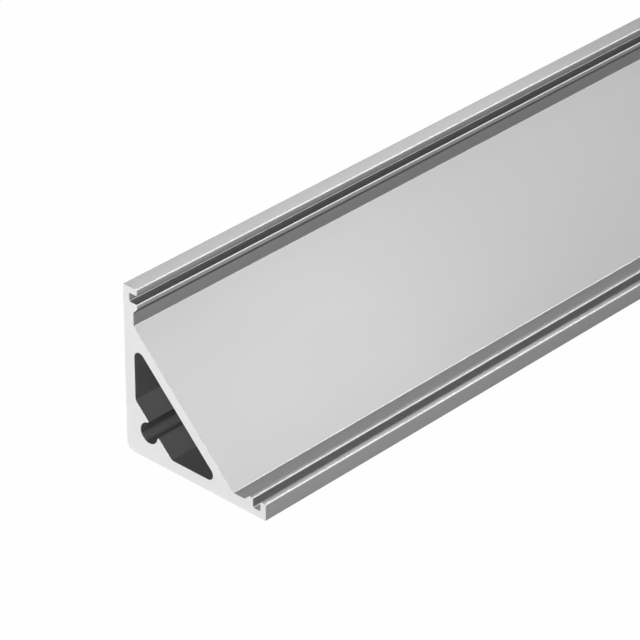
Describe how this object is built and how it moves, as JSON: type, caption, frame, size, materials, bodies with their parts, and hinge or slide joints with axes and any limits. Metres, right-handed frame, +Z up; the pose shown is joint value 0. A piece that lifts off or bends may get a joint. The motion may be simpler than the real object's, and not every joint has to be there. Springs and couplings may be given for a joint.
{
  "type": "corner led strip profile",
  "caption": "Right-angled aluminium extrusion with a slanted strip seat, cover slots in both legs, a hollow chamber and a screw channel.",
  "frame": {"origin": "middle of the bar's length and width, on its underside", "axes": "+X along the bar, +Y towards the upright leg's outer face, +Z up; the strip seat faces -Y and +Z"},
  "size_m": [0.5, 0.03, 0.03],
  "materials": {
    "anodised_aluminium": "satin"
  },
  "bodies": {
    "root": {"profile": "anodised_aluminium"}
  },
  "joints": []
}
